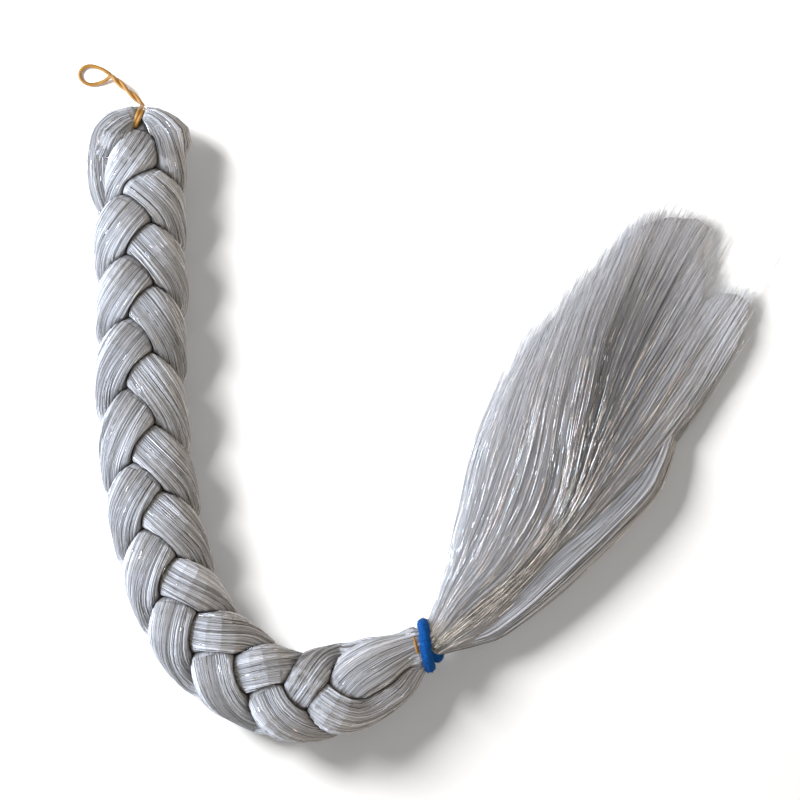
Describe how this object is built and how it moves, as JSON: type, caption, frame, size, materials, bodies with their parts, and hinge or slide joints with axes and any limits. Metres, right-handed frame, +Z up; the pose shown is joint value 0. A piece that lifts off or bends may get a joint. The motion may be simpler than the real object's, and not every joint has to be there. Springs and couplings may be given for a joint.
{
  "type": "bundle of braiding hair",
  "caption": "Silver tinsel braiding hair, folded at an elastic loop, plaited, tied off with a blue hair tie and left loose as a flared tail, lying curved on a surface.",
  "frame": {"origin": "on the table under the middle of the hair, without the free elastic loop", "axes": "+Z up from the table towards the face of the plait that the picture shows, +Y towards the folded end with the elastic loop, +X towards the tail"},
  "size_m": [0.3373, 0.3396, 0.0319],
  "materials": {
    "hair": "fine silky synthetic fibre with metallic tinsel threads",
    "blue_elastic": "woven covered elastic, dull",
    "amber_elastic": "smooth translucent amber elastic cord"
  },
  "bodies": {
    "root": {"strand_left": "hair", "strand_middle": "hair", "strand_right": "hair", "tail": "hair", "hair_tie": "blue_elastic", "inner_band": "amber_elastic", "elastic_wrap": "amber_elastic", "elastic_loop": "amber_elastic"}
  },
  "joints": []
}
